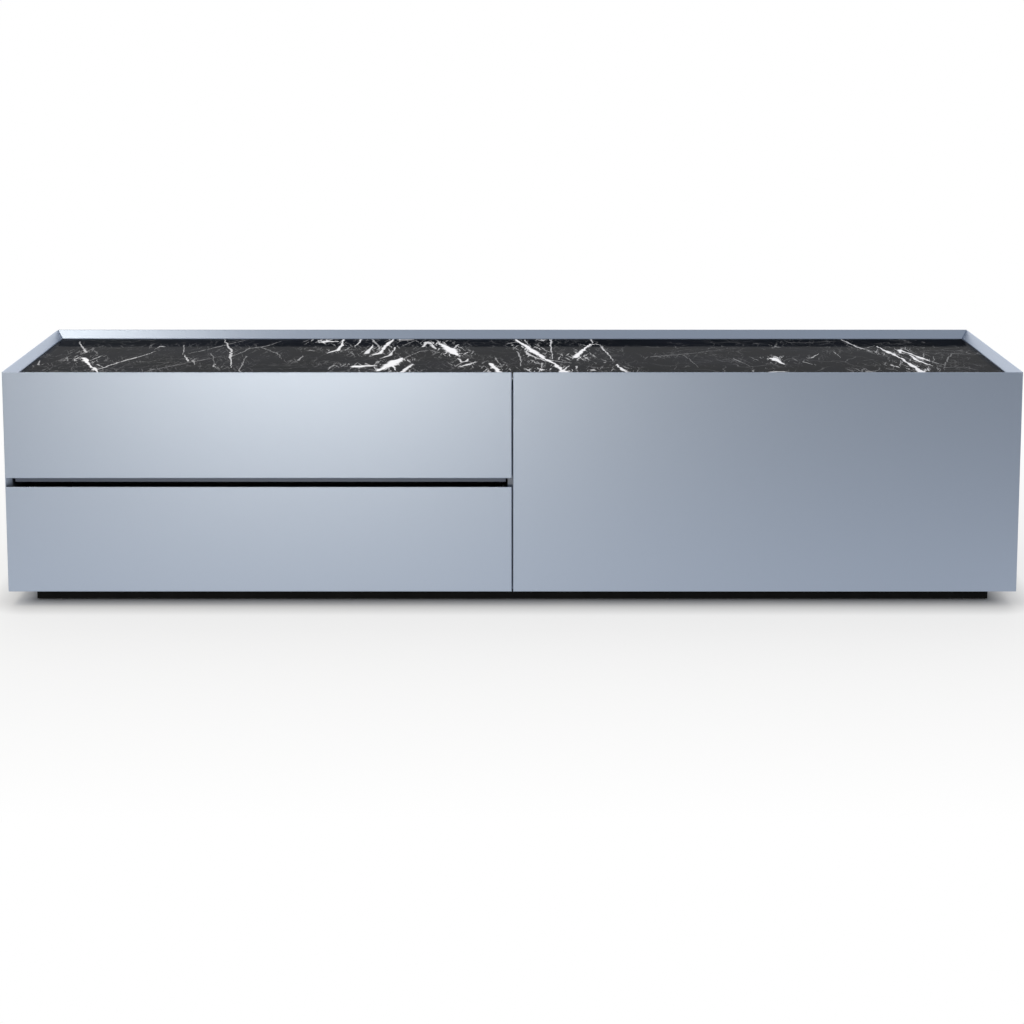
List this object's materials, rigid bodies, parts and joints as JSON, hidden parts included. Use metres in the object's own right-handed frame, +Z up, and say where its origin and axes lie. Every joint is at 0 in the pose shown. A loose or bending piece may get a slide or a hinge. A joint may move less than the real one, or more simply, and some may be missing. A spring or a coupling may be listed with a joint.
{
  "type": "lowboard",
  "caption": "Long low cabinet with stacked drawers beside a drop-down flap, a bevelled tray rim around an inset dark marble top and a recessed plinth.",
  "frame": {"origin": "on the floor under the middle of the lowboard", "axes": "+X to the right as seen from the front, +Y to the back, +Z up"},
  "size_m": [2, 0.5, 0.473],
  "materials": {
    "lacquer": "satin blue-grey metallic lacquer on board",
    "inside_lacquer": "matt blue-grey lacquer on board",
    "grip_metal": "aluminium angle lacquered in the front colour",
    "drawer_box": "dark grey linen-texture board",
    "runner_steel": "zinc-plated rolled steel",
    "marble": "polished black marble with white veins",
    "pad_rubber": "clear silicone pad",
    "plinth_black": "matt black laminate",
    "glide_plastic": "black glide",
    "screw_steel": "zinc-plated screw",
    "dowel_wood": "fluted beech dowel",
    "fitting_steel": "nickel-plated steel",
    "damper_steel": "dark nickel-plated steel",
    "fitting_plastic": "anthracite moulded plastic",
    "plunger_plastic": "light grey moulded plastic"
  },
  "bodies": {
    "carcass": {"left_side": "lacquer", "right_side": "lacquer", "back_panel": "lacquer", "bottom_panel": "inside_lacquer", "top_panel": "inside_lacquer", "centre_partition": "inside_lacquer", "shelf": "inside_lacquer", "upper_left_outer_rail": "runner_steel", "upper_right_outer_rail": "runner_steel", "lower_left_outer_rail": "runner_steel", "lower_right_outer_rail": "runner_steel", "marble_top": "marble", "marble_pads": "pad_rubber", "plinth_front": "plinth_black", "plinth_back": "plinth_black", "plinth_left": "plinth_black", "plinth_right": "plinth_black", "plinth_stretchers": "plinth_black", "plinth_blocks": "plinth_black", "glides": "glide_plastic", "plinth_screws": "screw_steel", "board_leaf_screws": "screw_steel", "carcass_dowels": "dowel_wood", "shelf_pins": "fitting_steel", "flap_fixed_leaves": "fitting_steel", "flap_hinge_pins": "fitting_steel", "damper_bodies": "fitting_plastic", "latch_body": "fitting_plastic", "cable_grommet": "fitting_plastic"},
    "upper_drawer": {"upper_drawer_front": "lacquer", "upper_drawer_subfront": "drawer_box", "upper_drawer_left": "drawer_box", "upper_drawer_right": "drawer_box", "upper_drawer_back": "drawer_box", "upper_drawer_bottom": "drawer_box", "upper_drawer_screws": "screw_steel", "upper_left_inner_rail": "runner_steel", "upper_right_inner_rail": "runner_steel", "grip_rail": "grip_metal"},
    "lower_drawer": {"lower_drawer_front": "lacquer", "lower_drawer_subfront": "drawer_box", "lower_drawer_left": "drawer_box", "lower_drawer_right": "drawer_box", "lower_drawer_back": "drawer_box", "lower_drawer_bottom": "drawer_box", "lower_drawer_screws": "screw_steel", "lower_left_inner_rail": "runner_steel", "lower_right_inner_rail": "runner_steel"},
    "upper_middle_rails": {"upper_left_middle_rail": "runner_steel", "upper_right_middle_rail": "runner_steel"},
    "lower_middle_rails": {"lower_left_middle_rail": "runner_steel", "lower_right_middle_rail": "runner_steel"},
    "flap": {"flap_panel": "lacquer", "flap_moving_leaves": "fitting_steel", "flap_leaf_screws": "screw_steel", "latch_strike": "fitting_steel", "flap_brackets": "fitting_steel"},
    "damper_arms_body": {"damper_arms": "damper_steel"},
    "damper_links_body": {"damper_links": "damper_steel"},
    "latch_plunger_body": {"latch_plunger": "plunger_plastic"}
  },
  "joints": [
    {"name": "upper_drawer_slide", "type": "slide", "parent": "carcass", "child": "upper_drawer", "axis": [0, -1, 0], "range_m": [0, 0.4]},
    {"name": "upper_middle_slide", "type": "slide", "parent": "carcass", "child": "upper_middle_rails", "axis": [0, -1, 0], "range_m": [0, 0.2]},
    {"name": "lower_drawer_slide", "type": "slide", "parent": "carcass", "child": "lower_drawer", "axis": [0, -1, 0], "range_m": [0, 0.4]},
    {"name": "lower_middle_slide", "type": "slide", "parent": "carcass", "child": "lower_middle_rails", "axis": [0, -1, 0], "range_m": [0, 0.2]},
    {"name": "flap_hinge", "type": "hinge", "parent": "carcass", "child": "flap", "pos_m": [0.494, -0.2335, 0.0325], "axis": [1, 0, 0], "range_deg": [0, 90]},
    {"name": "damper_arm_turn", "type": "hinge", "parent": "carcass", "child": "damper_arms_body", "pos_m": [0.494, -0.1735, 0.0575], "axis": [1, 0, 0], "range_deg": [0, 90]},
    {"name": "damper_link_turn", "type": "hinge", "parent": "damper_arms_body", "child": "damper_links_body", "pos_m": [0.494, -0.165, 0.2275], "axis": [1, 0, 0], "range_deg": [-90, 0]},
    {"name": "latch_plunger_push", "type": "slide", "parent": "carcass", "child": "latch_plunger_body", "axis": [0, -1, 0], "range_m": [0, 0.012]}
  ],
  "couplings": [
    {"joint": "upper_middle_slide", "follows": "upper_drawer_slide", "ratio": 0.5},
    {"joint": "lower_middle_slide", "follows": "lower_drawer_slide", "ratio": 0.5},
    {"joint": "damper_arm_turn", "follows": "flap_hinge", "ratio": 1},
    {"joint": "damper_link_turn", "follows": "flap_hinge", "ratio": -1},
    {"joint": "latch_plunger_push", "follows": "flap_hinge", "m_per_rad": 0.0076}
  ]
}
